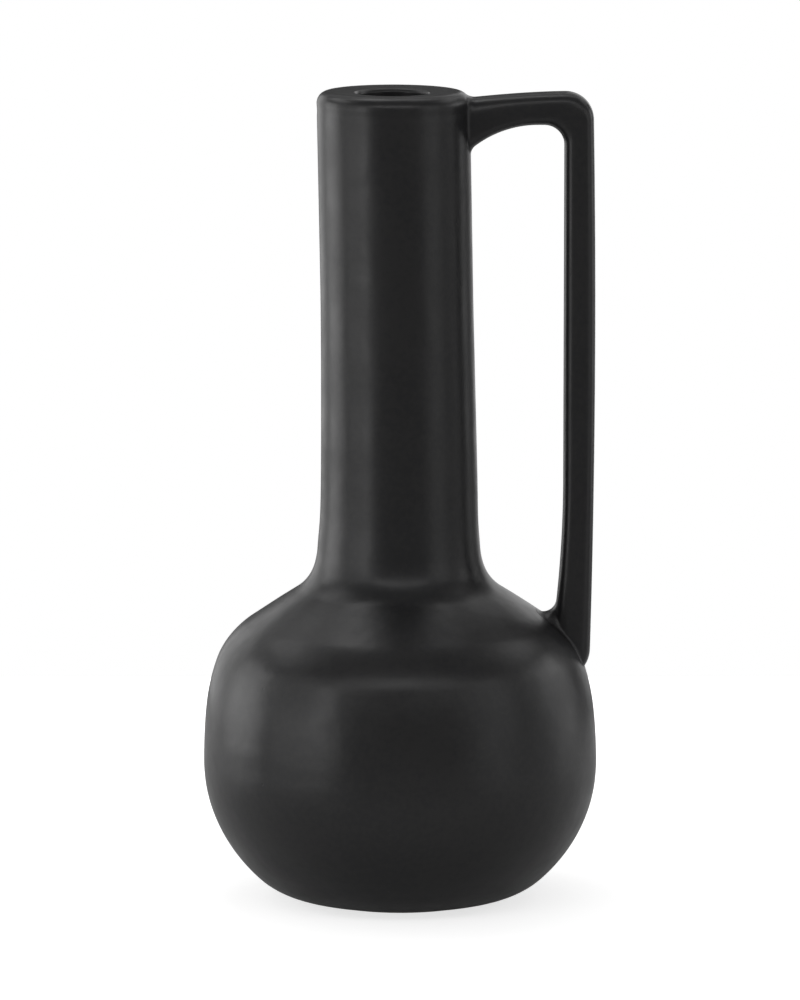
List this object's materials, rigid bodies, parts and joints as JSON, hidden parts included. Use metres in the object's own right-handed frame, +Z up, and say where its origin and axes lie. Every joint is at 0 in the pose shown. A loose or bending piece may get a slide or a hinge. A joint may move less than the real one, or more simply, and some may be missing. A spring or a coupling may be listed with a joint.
{
  "type": "lekythos",
  "caption": "Squat round-bellied lekythos with a tall tapering neck, thick rounded mouth and square strap handle, in matt black glaze.",
  "frame": {"origin": "middle of the standing face, on the surface that the vase stands on", "axes": "+Z up along the axis of belly, neck and mouth; the handle is on the +X side; the picture looks along +Y"},
  "size_m": [0.1456, 0.1456, 0.3],
  "materials": {
    "black_glaze": "satin to matt black glaze",
    "bare_clay": "unglazed fired clay, matt"
  },
  "bodies": {
    "root": {"foot_ring": "bare_clay", "belly": "black_glaze", "neck": "black_glaze", "mouth_rim": "black_glaze", "handle": "black_glaze"}
  },
  "joints": []
}
